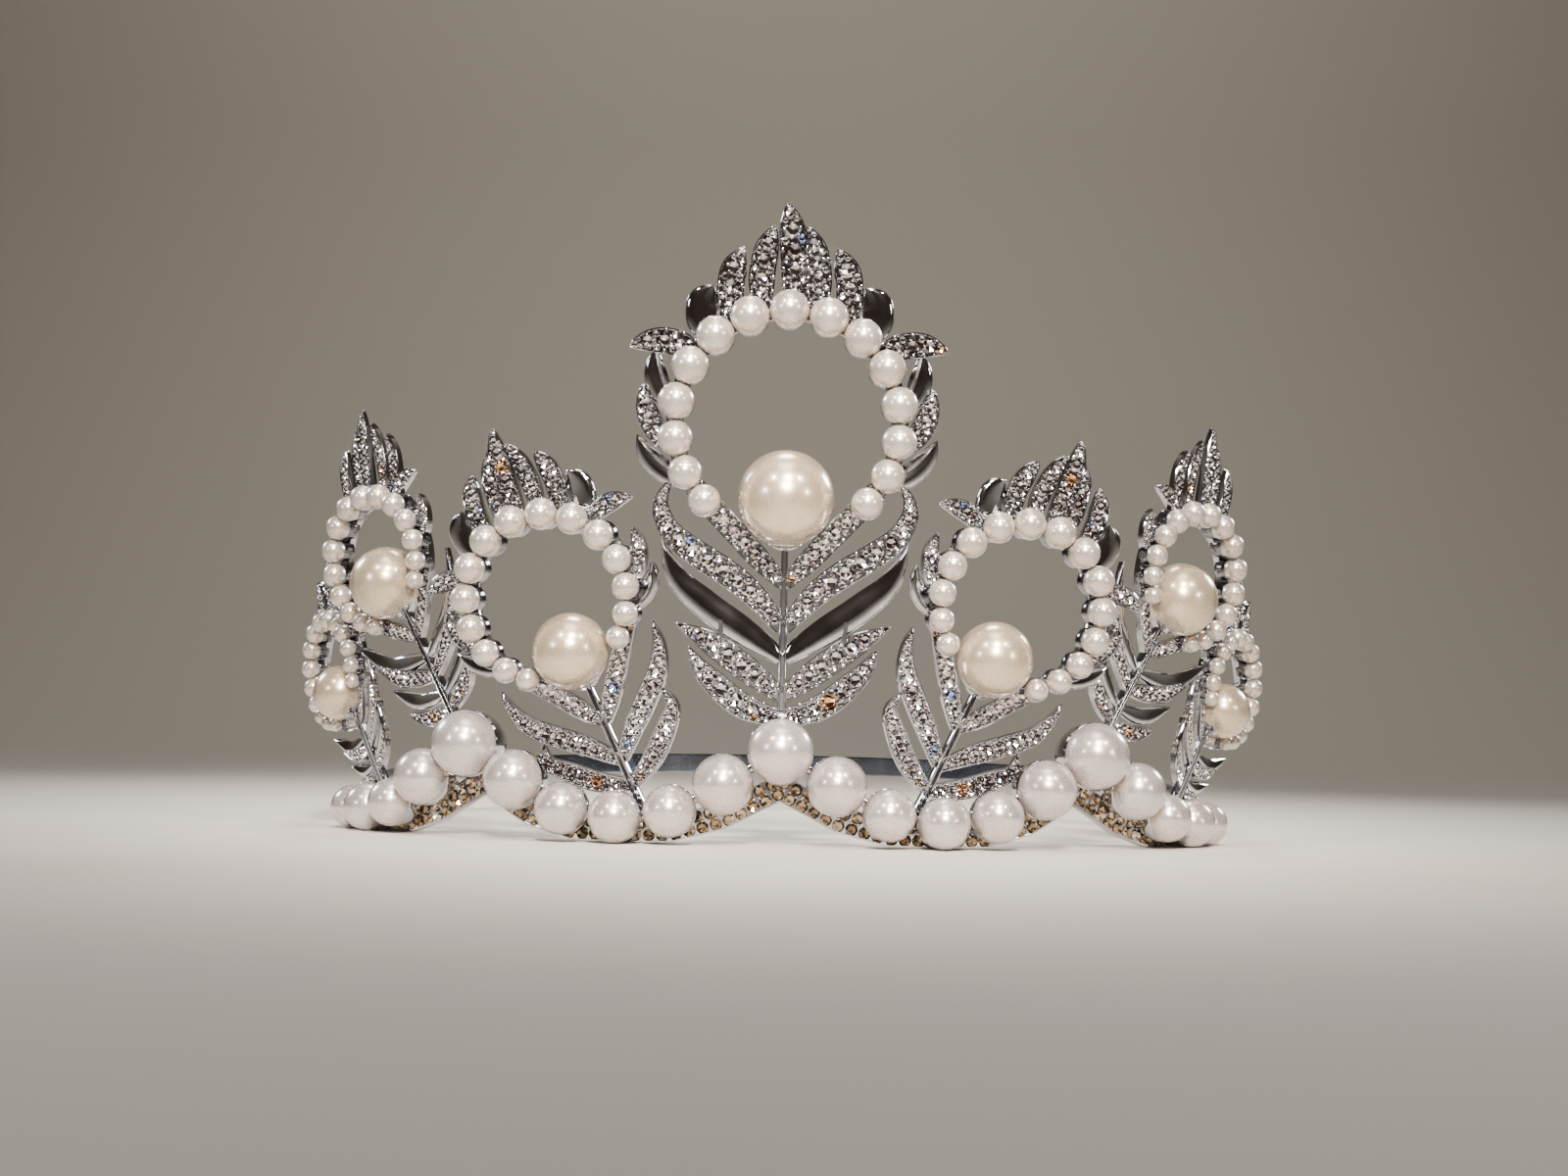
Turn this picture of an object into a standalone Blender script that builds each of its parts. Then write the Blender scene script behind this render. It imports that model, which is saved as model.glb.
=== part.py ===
"""Pageant crown: a garland of base pearls in front, seven leafy plumes that each carry a ring of pearls,
and a plain polished band that closes the ring behind. Metres, +Z up, front towards -Y."""
import math

import bmesh
import bpy
import numpy as np
from mathutils import Matrix, Vector

MM = 0.001
CROWN = "pageant_crown"
CLEARANCE = 0.3 * MM

# Plan of the crown from above: the line through the base pearls, closed round the back
PLAN_HALF_WIDTH = 90.6 * MM
PLAN_FRONT_DEPTH = 74.3 * MM
PLAN_REAR_DEPTH = 93.0 * MM
PLAN_FRONT_POWER = 2.55
PLAN_REAR_POWER = 2.15
PLAN_SAMPLES = 4000

# Base pearls, counted from the front pearl to the last one at either side
PEARL_DIAMETERS = [size * MM for size in (12.2, 11.2, 9.8, 9.8, 9.8, 11.2, 12.6, 10.9, 9.3, 9.4, 8.6)]
PEARL_SPACE = 0.5 * MM
LEAST_PEARL_STEP = 0.3
PEARL_UNDERSIDES = [size * MM for size in (11.4, 5.7, 1.3, 0.0)]
PEARLS_PER_HALF_WAVE = 3
BASE_PEARL_FACETS = (8, 5)
MAIN_PEARL_FACETS = (9, 6)

# Garland frame: a wire rail behind the pearls and a stone strip below it
RAIL_THICKNESS = 1.6 * MM
RAIL_HEIGHT = 2.2 * MM
RAIL_WITHIN_STRIP = 0.9
STRIP_HEIGHT = 5.2 * MM
STRIP_UNDERSIDES = [size * MM for size in (8.2, 2.7, 0.2, 0.0)]
STATIONS_PER_PEARL = 1
FLAT_FOOT_SHARE = 0.3

# Head band: a plain strip from one end of the garland round the back to the other
BAND_THICKNESS = 1.2 * MM
BAND_HEIGHT = 4.6 * MM
BAND_START_HEIGHT = 6.4 * MM
BAND_BACK_HEIGHT = 12.0 * MM
BAND_STATIONS = 13
BAND_EDGE = math.radians(40)

# What all plumes share; shares are of the plume's own stem length or ring radius
OUTWARD_TILT = math.radians(4.4)
STEM_WIDTH = 1.5 * MM
STEM_DEPTH = 2.0 * MM
RING_WIDTH = 3.2 * MM
RING_FRONT = 0.2 * MM
RING_BACK = 1.2 * MM
RING_SEGMENTS = 12
RING_LAP = 8
BEADS_PER_RING = 15
BEAD_SIDES = 5
BEAD_SHOULDER = 0.48
NECK_SHARE = 0.42
MAIN_PEARL_FORWARD = 2.0 * MM
CUP_WIDTH = 3.4 * MM

# Plumes from the centre to the far side, as built on the right; the left ones are mirrored
PLUMES = [
    dict(name="centre", seat=0.0, face=0, lean=0, stem=59.4, ring=20.9, crest=41.1, crest_turn=0,
         opening=46, pearl=18.0, drop=13.8, beads=(6.6, 7.9), leaves="tall", curls=4, crest_pairs=3),
    dict(name="inner", seat=2.6, face=13, lean=25, stem=42.4, ring=15.7, crest=33.8, crest_turn=-6,
         opening=38, pearl=14.4, drop=10.9, beads=(4.6, 6.3), leaves="middling", curls=3, crest_pairs=3),
    dict(name="middle", seat=6.45, face=43, lean=34, stem=43.6, ring=12.9, crest=31.0, crest_turn=-22,
         opening=38, pearl=14.4, drop=5.3, beads=(3.7, 5.2), leaves="flank", curls=2, crest_pairs=2),
    dict(name="outer", seat=9.3, face=58, lean=42, stem=33.6, ring=10.8, crest=22.0, crest_turn=-11,
         opening=38, pearl=11.3, drop=5.8, beads=(3.2, 4.3), leaves="flank", curls=2, crest_pairs=2),
]

# Leaves in pairs up the stem: root height, tip across and up, bow and width, and how many
# sections each has. Shares of the stem length; the bow is a share of the leaf's own length.
# The topmost pair runs up to the ring's open ends and carries them.
PAVE_LAYER = 0.8 * MM
PLAIN_LAYER = 0.9 * MM
RING_END = "ring end"
LEAVES = {
    "tall": [
        dict(root=0.10, tip=(0.295, 0.300), bow=0.22, width=0.078, layer=PAVE_LAYER, sections=2),
        dict(root=0.16, tip=(0.335, 0.372), bow=-0.12, width=0.074, layer=PAVE_LAYER, sections=2),
        dict(root=0.27, tip=(0.385, 0.630), bow=0.08, width=0.078, layer=PLAIN_LAYER, sections=2),
        dict(root=0.35, tip=(0.352, 0.836), bow=0.36, width=0.080, layer=PAVE_LAYER, sections=3),
        dict(root=0.47, tip=RING_END, bow=0.0, width=0.062, layer=PAVE_LAYER, sections=1),
    ],
    "middling": [
        dict(root=0.15, tip=(0.335, 0.475), bow=0.20, width=0.090, layer=PAVE_LAYER, sections=2),
        dict(root=0.24, tip=(0.450, 0.830), bow=0.34, width=0.080, layer=PLAIN_LAYER, sections=2),
        dict(root=0.30, tip=(0.410, 0.780), bow=0.26, width=0.088, layer=PAVE_LAYER, sections=3),
        dict(root=0.47, tip=RING_END, bow=0.0, width=0.080, layer=PAVE_LAYER, sections=1),
    ],
    "flank": [
        dict(root=0.24, tip=(0.265, 0.370), bow=0.10, width=0.080, layer=PAVE_LAYER, sections=2),
        dict(root=0.33, tip=(0.285, 0.560), bow=0.15, width=0.085, layer=PAVE_LAYER, sections=2),
        dict(root=0.45, tip=(0.400, 0.780), bow=0.20, width=0.085, layer=PLAIN_LAYER, sections=2),
        dict(root=0.55, tip=RING_END, bow=0.0, width=0.080, layer=PAVE_LAYER, sections=1),
    ],
}

# Curled leaves down each side of the ring: angles over the horizontal, radii as shares of the ring's
CURLS = [
    dict(root=40, tip=24, reach=1.56, bow=-0.20, width=0.21, layer=PAVE_LAYER),
    dict(root=-14, tip=15, reach=1.30, bow=0.26, width=0.19, layer=PAVE_LAYER),
    dict(root=-33, tip=-5, reach=1.31, bow=0.26, width=0.19, layer=PLAIN_LAYER),
    dict(root=9, tip=30, reach=1.34, bow=0.30, width=0.19, layer=PLAIN_LAYER),
]

# Crest feathers: angles from the crest's own axis, height as a share of the crest's, in pairs
CREST_CENTRE = dict(root=0, tip=-1, height=1.0, bow=0.05, width=0.24, layer=PAVE_LAYER, sections=2)
CREST_PAIRS = [
    dict(root=13, tip=6.5, height=0.88, bow=0.10, width=0.20, layer=PAVE_LAYER, sections=1),
    dict(root=29, tip=16, height=0.80, bow=0.22, width=0.21, layer=PAVE_LAYER, sections=2),
    dict(root=46, tip=34, height=0.68, bow=0.30, width=0.24, layer=PLAIN_LAYER, sections=2),
]
LEAF_THICKNESS = 1.3 * MM
ROOT_THICKNESS = 0.6 * MM
ROOT_WIDTH_SHARE = 0.5
SWELL_RATE = 2.2
TIP_RIDGE_SHARE = 1 / 3
RING_ROOT_SHARE = 0.15
LEAF_FLATNESS = math.radians(3)
FOOT_FLATNESS = math.radians(0.5)


def clear_scene():
    for old in list(bpy.data.objects):
        bpy.data.objects.remove(old, do_unlink=True)


def make_collection(name):
    collection = bpy.data.collections.new(name)
    bpy.context.scene.collection.children.link(collection)
    return collection


def make_material(name, colour, roughness, metallic):
    material = bpy.data.materials.new(name)
    material.use_nodes = True
    shader = material.node_tree.nodes["Principled BSDF"]
    shader.inputs["Base Color"].default_value = (*colour, 1.0)
    shader.inputs["Roughness"].default_value = roughness
    shader.inputs["Metallic"].default_value = metallic
    material.diffuse_color = (*colour, 1.0)
    return material


def add_object(name, mesh, collection, material, parent, place=None):
    node = bpy.data.objects.new(name, mesh)
    collection.objects.link(node)
    if material:
        mesh.materials.append(material)
    node.parent = parent
    node.matrix_local = place or Matrix.Identity(4)
    return node


def mesh_from(bm, name):
    bmesh.ops.recalc_face_normals(bm, faces=bm.faces[:])
    mesh = bpy.data.meshes.new(name)
    bm.to_mesh(mesh)
    bm.free()
    return mesh


def loft(bm, sections):
    """Skin a list of equal outlines, closed flat at both ends; an outline of one point is a tip."""
    rows = [[bm.verts.new(point) for point in outline] for outline in sections]
    for low, high in zip(rows, rows[1:]):
        count = max(len(low), len(high))
        for i in range(count):
            j = (i + 1) % count
            if len(high) == 1:
                bm.faces.new((low[i], low[j], high[0]))
            elif len(low) == 1:
                bm.faces.new((low[0], high[j], high[i]))
            else:
                bm.faces.new((low[i], low[j], high[j], high[i]))
    for row in (rows[0], rows[-1]):
        if len(row) > 2:
            bm.faces.new(row)


class Plan:
    """The crown's outline from above, measured by its arc length from the front, towards +X."""

    def __init__(self):
        turn = np.linspace(0.0, math.pi, PLAN_SAMPLES)
        front = turn < math.pi / 2
        power = np.where(front, PLAN_FRONT_POWER, PLAN_REAR_POWER)
        depth = np.where(front, -PLAN_FRONT_DEPTH, PLAN_REAR_DEPTH)
        self.x = PLAN_HALF_WIDTH * np.sin(turn) ** (2 / power)
        self.y = PLAN_FRONT_DEPTH + depth * np.abs(np.cos(turn)) ** (2 / power)
        steps = np.hypot(np.diff(self.x), np.diff(self.y))
        self.arc = np.concatenate(([0.0], np.cumsum(steps)))
        self.half_length = float(self.arc[-1])

    def point(self, arc, inward=0.0):
        """A point on the outline, moved towards the middle of the crown, and the way it faces."""
        reach = min(abs(arc), self.half_length)
        step = 0.5 * MM
        near = max(reach - step, 0.0)
        far = min(reach + step, self.half_length)
        x0, x1, x2 = np.interp((near, reach, far), self.arc, self.x)
        y0, y1, y2 = np.interp((near, reach, far), self.arc, self.y)
        heading = math.atan2(y2 - y0, x2 - x0)
        x = x1 - inward * math.sin(heading)
        y = y1 + inward * math.cos(heading)
        side = 1.0 if arc >= 0 else -1.0
        return Vector((side * x, y, 0.0)), side * heading


def folded(index):
    """Position within a half wave of the garland: 0 at a peak, 3 at a trough, flat past the last trough."""
    wave = 2 * PEARLS_PER_HALF_WAVE
    last_trough = 3 * PEARLS_PER_HALF_WAVE
    index = min(abs(index), last_trough)
    index = index % wave
    return min(index, wave - index)


def along_wave(heights, index):
    """A smooth height between the named ones, with level ground at the troughs for feet."""
    place = folded(index)
    foot = PEARLS_PER_HALF_WAVE - FLAT_FOOT_SHARE
    if place >= foot:
        return heights[-1]
    return float(np.interp(place, (0, 1, 2, foot), heights))


def pearl_arcs(plan):
    """Arc length of each base pearl, from the front pearl outwards, neighbours a small space apart."""
    arcs = [0.0]
    for index in range(1, len(PEARL_DIAMETERS)):
        reach = (PEARL_DIAMETERS[index - 1] + PEARL_DIAMETERS[index]) / 2 + PEARL_SPACE
        rise = pearl_height(index) - pearl_height(index - 1)
        arcs.append(arcs[-1] + math.sqrt(max(reach ** 2 - rise ** 2, (LEAST_PEARL_STEP * reach) ** 2)))
    return arcs


def pearl_diameter(index):
    return float(np.interp(abs(index), range(len(PEARL_DIAMETERS)), PEARL_DIAMETERS))


def pearl_height(index):
    return along_wave(PEARL_UNDERSIDES, index) + pearl_diameter(index) / 2


def rail_inward(index):
    return pearl_diameter(index) / 2 + CLEARANCE + RAIL_THICKNESS / 2


def upright_section(plan, arc, inward, thickness, bottom, top):
    inner, _ = plan.point(arc, inward + thickness / 2)
    outer, _ = plan.point(arc, inward - thickness / 2)
    return [(outer.x, outer.y, bottom), (outer.x, outer.y, top), (inner.x, inner.y, top), (inner.x, inner.y, bottom)]


def ball(name, diameter, facets):
    bm = bmesh.new()
    bmesh.ops.create_uvsphere(bm, u_segments=facets[0], v_segments=facets[1], radius=diameter / 2)
    mesh = mesh_from(bm, name)
    mesh.shade_smooth()
    return mesh


def make_base_pearls(plan, arcs, group, material, crown):
    for side, word in ((1, "right"), (-1, "left")):
        for index, arc in enumerate(arcs):
            if index == 0 and side < 0:
                continue
            name = f"base_pearl_{word}_{index:02d}" if index else "base_pearl_front"
            place, _ = plan.point(side * arc)
            place.z = pearl_height(index)
            mesh = ball(name, PEARL_DIAMETERS[index], BASE_PEARL_FACETS)
            add_object(name, mesh, group, material, crown, Matrix.Translation(place))


def frame_indices():
    last = len(PEARL_DIAMETERS) - 1
    count = last * STATIONS_PER_PEARL
    indices = [i / STATIONS_PER_PEARL for i in range(-count, count + 1)]
    feet = [trough + offset for trough in (-9, -3, 3, 9) for offset in (-FLAT_FOOT_SHARE, FLAT_FOOT_SHARE)]
    return sorted(set(indices + feet))


def arc_at(arcs, index):
    return math.copysign(float(np.interp(abs(index), range(len(arcs)), arcs)), index)


def make_garland_frame(plan, arcs, group, cutters, material, crown):
    strip = bmesh.new()
    rail = bmesh.new()
    strip_sections = []
    rail_sections = []
    for index in frame_indices():
        at_pearl = abs(index - round(index)) < 1e-6
        arc = arc_at(arcs, index)
        inward = rail_inward(index)
        low = along_wave(STRIP_UNDERSIDES, index)
        strip_sections.append(upright_section(plan, arc, inward, RAIL_THICKNESS, low, low + STRIP_HEIGHT))
        middle = pearl_height(index)
        ends = (middle - RAIL_HEIGHT / 2, middle + RAIL_HEIGHT / 2)
        if at_pearl:
            rail_sections.append(upright_section(plan, arc, inward, RAIL_THICKNESS * RAIL_WITHIN_STRIP, *ends))
    loft(strip, strip_sections)
    loft(rail, rail_sections)
    frame = add_object("garland_frame", mesh_from(strip, "garland_frame"), group, material, crown)
    helper = add_object("rail_shape", mesh_from(rail, "rail_shape"), cutters, None, crown)
    join(frame, helper, FOOT_FLATNESS)


def join(node, helper, flatness):
    """Fuse the helper, and whatever overlaps within the node itself, into one closed body; faces that
    lie within the flatness of one plane become one."""
    helper.hide_render = True
    helper.display_type = "WIRE"
    fuse = node.modifiers.new("fuse", "BOOLEAN")
    fuse.operation = "UNION"
    fuse.solver = "EXACT"
    fuse.use_self = True
    fuse.object = helper
    tidy = node.modifiers.new("tidy", "DECIMATE")
    tidy.decimate_type = "DISSOLVE"
    tidy.angle_limit = flatness


def make_head_band(plan, arcs, group, material, crown):
    last = len(PEARL_DIAMETERS) - 1
    inward = rail_inward(last)
    start = arcs[-1] + CLEARANCE
    rear = plan.half_length - start
    right = []
    for step in range(BAND_STATIONS + 1):
        share = step / BAND_STATIONS
        rise = math.sin(share * math.pi / 2)
        low = BAND_START_HEIGHT + (BAND_BACK_HEIGHT - BAND_START_HEIGHT) * rise - BAND_HEIGHT / 2
        arc = start + rear * share
        right.append(upright_section(plan, arc, inward, BAND_THICKNESS, low, low + BAND_HEIGHT))
    left = [[(-x, y, z) for x, y, z in section] for section in right[:-1]]
    bm = bmesh.new()
    loft(bm, right + left[::-1])
    mesh = mesh_from(bm, "head_band")
    mesh.shade_smooth()
    mesh.set_sharp_from_angle(angle=BAND_EDGE)
    add_object("head_band", mesh, group, material, crown)


def blade(bm, root, tip, bow, width, layer, sections):
    """A leaf with a flat back and a ridge in front, from its cut root to its pointed tip. Across is x
    and up is z, and the layer is how far the flat back lies behind the plume's plane, along y."""
    root = Vector(root)
    tip = Vector(tip)
    chord = tip - root
    outward = Vector((chord.y, -chord.x)) * (1 if chord.x >= 0 else -1)
    control = (root + tip) / 2 + outward * bow
    outlines = []
    for step in range(sections + 1):
        share = step / (sections + 1)
        point = root * (1 - share) ** 2 + control * 2 * share * (1 - share) + tip * share ** 2
        heading = ((control - root) * (1 - share) + (tip - control) * share).normalized()
        swell = math.sin(min(share * SWELL_RATE, 1.0) * math.pi / 2)
        fade = 1.0 if share < 0.5 else math.sqrt(max(1 - (2 * share - 1) ** 2, 0.0))
        half = width / 2 * (ROOT_WIDTH_SHARE + (1 - ROOT_WIDTH_SHARE) * swell) * fade
        across = Vector((heading.y, -heading.x)) * half
        ridge = layer - (ROOT_THICKNESS + (LEAF_THICKNESS - ROOT_THICKNESS) * swell)
        outlines.append([(point.x - across.x, layer, point.y - across.y),
                         (point.x, ridge, point.y),
                         (point.x + across.x, layer, point.y + across.y)])
    outlines.append([(tip.x, layer - LEAF_THICKNESS * TIP_RIDGE_SHARE, tip.y)])
    loft(bm, outlines)


def polar(radius, angle, centre_height):
    """A point round the ring's centre, its angle counted from straight up towards +x."""
    return (radius * math.sin(angle), centre_height + radius * math.cos(angle))


def add_leaf_pairs(bm, plume):
    stem = plume["stem"] * MM
    ring = plume["ring"] * MM
    for leaf in LEAVES[plume["leaves"]]:
        for side in (1, -1):
            root = (0.0, leaf["root"] * stem)
            if leaf["tip"] == RING_END:
                tip = polar(ring, side * (math.pi - math.radians(plume["opening"] + RING_LAP)), stem)
            else:
                tip = (side * leaf["tip"][0] * stem, leaf["tip"][1] * stem)
            blade(bm, root, tip, leaf["bow"], leaf["width"] * stem, leaf["layer"], leaf["sections"])


def add_curls(bm, plume):
    stem = plume["stem"] * MM
    ring = plume["ring"] * MM
    for curl in CURLS[:plume["curls"]]:
        for side in (1, -1):
            root = polar(ring + RING_WIDTH * RING_ROOT_SHARE, side * math.radians(90 - curl["root"]), stem)
            tip = polar(ring * curl["reach"], side * math.radians(90 - curl["tip"]), stem)
            blade(bm, root, tip, curl["bow"], curl["width"] * ring, curl["layer"], 2)


def add_crest(bm, plume):
    stem = plume["stem"] * MM
    ring = plume["ring"] * MM
    crest = plume["crest"] * MM
    turn = math.radians(plume["crest_turn"])
    pairs = CREST_PAIRS[:plume["crest_pairs"]]
    feathers = [(1, CREST_CENTRE)] + [(side, pair) for pair in pairs for side in (1, -1)]
    for side, feather in feathers:
        root_radius = ring + RING_WIDTH * RING_ROOT_SHARE
        root = polar(root_radius, turn + side * math.radians(feather["root"]), stem)
        tip = polar(crest * feather["height"], turn + side * math.radians(feather["tip"]), stem)
        lean = side if tip[0] >= root[0] else -side
        blade(bm, root, tip, lean * feather["bow"], feather["width"] * ring, feather["layer"], feather["sections"])


def make_ring_and_stem(plume):
    """The flat ring behind the small pearls, open at the bottom, and the stem with the main pearl's cup."""
    stem = plume["stem"] * MM
    ring = plume["ring"] * MM
    half_open = math.radians(plume["opening"])
    bm = bmesh.new()
    sections = []
    for step in range(RING_SEGMENTS + 1):
        angle = -math.pi + half_open + (2 * math.pi - 2 * half_open) * step / RING_SEGMENTS
        inner = polar(ring - RING_WIDTH / 2, angle, stem)
        outer = polar(ring + RING_WIDTH / 2, angle, stem)
        sections.append([(inner[0], -RING_FRONT, inner[1]), (outer[0], -RING_FRONT, outer[1]),
                         (outer[0], RING_BACK, outer[1]), (inner[0], RING_BACK, inner[1])])
    loft(bm, sections)
    cup = stem - plume["drop"] * MM - plume["pearl"] * MM / 2 - CLEARANCE
    heights = ((0.0, STEM_WIDTH), (cup - CUP_WIDTH / 2, STEM_WIDTH), (cup, CUP_WIDTH))
    outlines = []
    for height, width in heights:
        side = width / 2
        depth = STEM_DEPTH / 2 * (width / STEM_WIDTH) ** 0.5
        outlines.append([(-side, -depth, height), (side, -depth, height), (side, depth, height), (-side, depth, height)])
    loft(bm, outlines)
    return bm


def bead_sizes(plume):
    """Diameters round the ring, smallest at its open ends and largest at the top."""
    small, large = (size * MM for size in plume["beads"])
    steps = [math.sin(math.pi * i / (BEADS_PER_RING - 1)) for i in range(BEADS_PER_RING)]
    return [small + (large - small) * step for step in steps]


def make_bead_string(plume):
    """Fifteen beads in one skin: each is a faceted barrel, and a narrow neck joins it to the next."""
    stem = plume["stem"] * MM
    ring = plume["ring"] * MM
    half_open = math.radians(plume["opening"])
    sizes = bead_sizes(plume)
    gaps = [(a + b) / 2 for a, b in zip(sizes, sizes[1:])]
    span = 2 * math.pi - 2 * half_open
    angles = [-math.pi + half_open + span * sum(gaps[:i]) / sum(gaps) for i in range(BEADS_PER_RING)]
    crowding = span * ring / sum(gaps)
    sections = []

    def cross_section(angle, forward, radius):
        outline = []
        for side in range(BEAD_SIDES):
            round_angle = 2 * math.pi * side / BEAD_SIDES
            x, z = polar(ring + radius * math.cos(round_angle), angle, stem)
            outline.append((x, -forward - radius * math.sin(round_angle), z))
        return outline

    for index, (size, angle) in enumerate(zip(sizes, angles)):
        radius = size / 2
        forward = RING_FRONT + CLEARANCE + radius
        if index == 0:
            x, z = polar(ring, angle - radius / ring, stem)
            sections.append([(x, -forward, z)])
        else:
            before = sizes[index - 1] / 2
            neck = (angles[index - 1] * radius + angle * before) / (radius + before)
            neck_forward = RING_FRONT + CLEARANCE + (radius + before) / 2
            sections.append(cross_section(neck, neck_forward, NECK_SHARE * min(radius, before)))
        for way in (-1, 1):
            shift = way * BEAD_SHOULDER * radius * min(crowding, 1.0) / ring
            shoulder = radius * math.sqrt(1 - BEAD_SHOULDER ** 2)
            sections.append(cross_section(angle + shift, forward, shoulder))
    x, z = polar(ring, angles[-1] + sizes[-1] / 2 / ring, stem)
    sections.append([(x, -(RING_FRONT + CLEARANCE + sizes[-1] / 2), z)])
    bm = bmesh.new()
    loft(bm, sections)
    return bm


def plume_place(plan, arcs, plume, side):
    """Where a plume's foot stands on the rail, and how the plume is turned, tilted and leaned."""
    index = plume["seat"]
    foot, _ = plan.point(side * arc_at(arcs, index), rail_inward(index))
    run = arc_at(arcs, index + 0.1) - arc_at(arcs, index - 0.1)
    slope = abs(pearl_height(index + 0.1) - pearl_height(index - 0.1)) / run
    clear = CLEARANCE + STEM_WIDTH / 2 * (math.sin(math.radians(plume["lean"])) + slope)
    foot.z = pearl_height(index) + RAIL_HEIGHT / 2 + clear
    turn = Matrix.Rotation(side * math.radians(plume["face"]), 4, "Z")
    tilt = Matrix.Rotation(OUTWARD_TILT, 4, "X")
    lean = Matrix.Rotation(side * math.radians(plume["lean"]), 4, "Y")
    return Matrix.Translation(foot) @ turn @ tilt @ lean


def mirrored(bm, side):
    if side < 0:
        bmesh.ops.scale(bm, vec=(-1, 1, 1), verts=bm.verts[:])
    return bm


def make_plume(plan, arcs, plume, side, group, cutters, silver, pearl, crown):
    name = plume["name"]
    if name != "centre":
        name += "_right" if side > 0 else "_left"
    place = plume_place(plan, arcs, plume, side)
    leaves = bmesh.new()
    add_leaf_pairs(leaves, plume)
    add_curls(leaves, plume)
    add_crest(leaves, plume)
    casting_mesh = mesh_from(mirrored(leaves, side), f"plume_{name}")
    casting = add_object(f"plume_{name}", casting_mesh, group, silver, crown, place)
    core_mesh = mesh_from(mirrored(make_ring_and_stem(plume), side), f"core_{name}")
    core = add_object(f"core_{name}", core_mesh, cutters, None, crown, place)
    join(casting, core, LEAF_FLATNESS)
    string_mesh = mesh_from(mirrored(make_bead_string(plume), side), f"pearl_ring_{name}")
    string_mesh.shade_smooth()
    add_object(f"pearl_ring_{name}", string_mesh, group, pearl, crown, place)
    height = (plume["stem"] - plume["drop"]) * MM
    centre = Matrix.Translation((0, -MAIN_PEARL_FORWARD, height))
    main = ball(f"main_pearl_{name}", plume["pearl"] * MM, MAIN_PEARL_FACETS)
    add_object(f"main_pearl_{name}", main, group, pearl, crown, place @ centre)


def centre_crown(crown, nodes):
    """Move the whole crown so that the middle of its box is over the origin; it already stands on z = 0."""
    bpy.context.view_layer.update()
    shapes = bpy.context.evaluated_depsgraph_get()
    corners = []
    for node in nodes:
        solid = node.evaluated_get(shapes)
        corners += [solid.matrix_world @ Vector(corner) for corner in solid.bound_box]
    ys = [corner.y for corner in corners]
    crown.location.y = -(min(ys) + max(ys)) / 2


def build():
    clear_scene()
    group = make_collection(CROWN)
    cutters = make_collection(CROWN + "_cutters")
    crown = bpy.data.objects.new("crown_origin", None)
    group.objects.link(crown)
    silver = make_material("plated_silver", (0.72, 0.72, 0.74), 0.16, 1.0)
    steel = make_material("polished_band", (0.42, 0.43, 0.46), 0.12, 1.0)
    pearl = make_material("pearl", (0.86, 0.80, 0.76), 0.22, 0.0)
    plan = Plan()
    arcs = pearl_arcs(plan)
    make_garland_frame(plan, arcs, group, cutters, silver, crown)
    make_head_band(plan, arcs, group, steel, crown)
    make_base_pearls(plan, arcs, group, pearl, crown)
    for plume in PLUMES:
        for side in (1, -1) if plume["name"] != "centre" else (1,):
            make_plume(plan, arcs, plume, side, group, cutters, silver, pearl, crown)
    centre_crown(crown, [node for node in group.objects if node.type == "MESH"])


build()
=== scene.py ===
"""Looks of the pageant crown: cast plumes set with stones and pearls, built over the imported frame."""

import math

import bmesh
import bpy
import numpy as np
from mathutils import Matrix, Vector


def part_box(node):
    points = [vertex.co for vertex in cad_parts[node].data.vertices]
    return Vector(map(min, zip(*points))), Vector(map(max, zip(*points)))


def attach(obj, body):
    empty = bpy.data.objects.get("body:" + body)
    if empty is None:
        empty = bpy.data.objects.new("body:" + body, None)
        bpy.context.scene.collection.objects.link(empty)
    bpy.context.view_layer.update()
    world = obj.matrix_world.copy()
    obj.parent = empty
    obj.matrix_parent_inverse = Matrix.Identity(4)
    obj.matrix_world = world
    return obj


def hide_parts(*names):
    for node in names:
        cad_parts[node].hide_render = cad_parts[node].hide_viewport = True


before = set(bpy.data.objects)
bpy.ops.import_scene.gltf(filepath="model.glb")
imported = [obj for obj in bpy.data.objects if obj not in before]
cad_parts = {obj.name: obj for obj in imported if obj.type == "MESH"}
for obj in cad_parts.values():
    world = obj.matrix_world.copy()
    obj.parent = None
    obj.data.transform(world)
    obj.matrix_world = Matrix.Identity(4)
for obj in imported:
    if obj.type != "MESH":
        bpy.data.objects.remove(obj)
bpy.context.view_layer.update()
MM = 0.001
BODY = "root"

# Plan of the crown from above: the line through the base pearls, closed round the back
PLAN_HALF_WIDTH = 90.6 * MM
PLAN_FRONT_DEPTH = 74.3 * MM
PLAN_REAR_DEPTH = 93.0 * MM
PLAN_FRONT_POWER = 2.55
PLAN_REAR_POWER = 2.15
PLAN_SAMPLES = 4000

# Base pearls, rail, stone strip and head band
CLEARANCE = 0.3 * MM
PEARL_DIAMETERS = [size * MM for size in (12.2, 11.2, 9.8, 9.8, 9.8, 11.2, 12.6, 10.9, 9.3, 9.4, 8.6)]
PEARL_SPACE = 0.5 * MM
LEAST_PEARL_STEP = 0.3
PEARL_UNDERSIDES = [size * MM for size in (11.4, 5.7, 1.3, 0.0)]
PEARLS_PER_HALF_WAVE = 3
RAIL_THICKNESS = 1.6 * MM
RAIL_HEIGHT = 2.2 * MM
RAIL_FACETS = 10
STRIP_HEIGHT = 5.2 * MM
STRIP_UNDERSIDES = [size * MM for size in (8.2, 2.7, 0.2, 0.0)]
STRIP_LIP = 0.35 * MM
STRIP_STATIONS = 6
STRIP_STONE = 2.5 * MM
STRIP_STEP = 1.02
STRIP_ROWS = (0.27, 0.73)
STRIP_ROW_START = 0.6
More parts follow.
